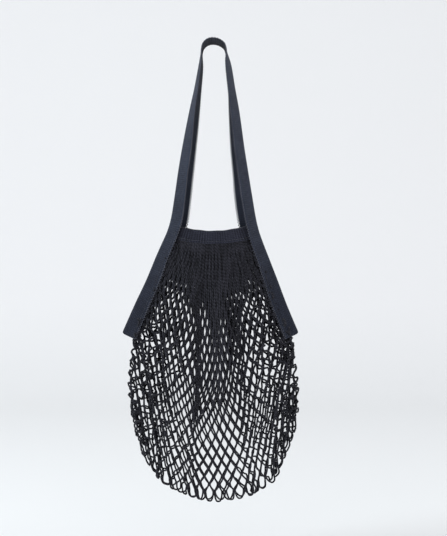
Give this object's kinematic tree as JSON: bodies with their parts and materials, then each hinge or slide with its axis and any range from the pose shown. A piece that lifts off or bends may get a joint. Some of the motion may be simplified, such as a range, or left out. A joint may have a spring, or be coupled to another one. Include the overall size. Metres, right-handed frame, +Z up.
{
  "type": "mesh bag",
  "caption": "Dark cotton net shopping bag, hanging open and empty: a knotless diamond net sack with bound mouth edges and one long folded-tape shoulder strap.",
  "frame": {"origin": "underside of the shoulder strap at the top of its arch, where it rests on a peg", "axes": "+X to the right seen from the front, +Y to the back, +Z up"},
  "size_m": [0.2636, 0.0632, 0.688],
  "materials": {
    "strap_tape": "matt knitted cotton tape, dark navy",
    "band_tape": "matt knitted cotton tape, dark navy",
    "net_cord": "matt cotton cord, dark navy"
  },
  "bodies": {
    "root": {"shoulder_strap": "strap_tape", "mouth_band_front": "band_tape", "mouth_band_rear": "band_tape", "net_body": "net_cord"}
  },
  "joints": []
}
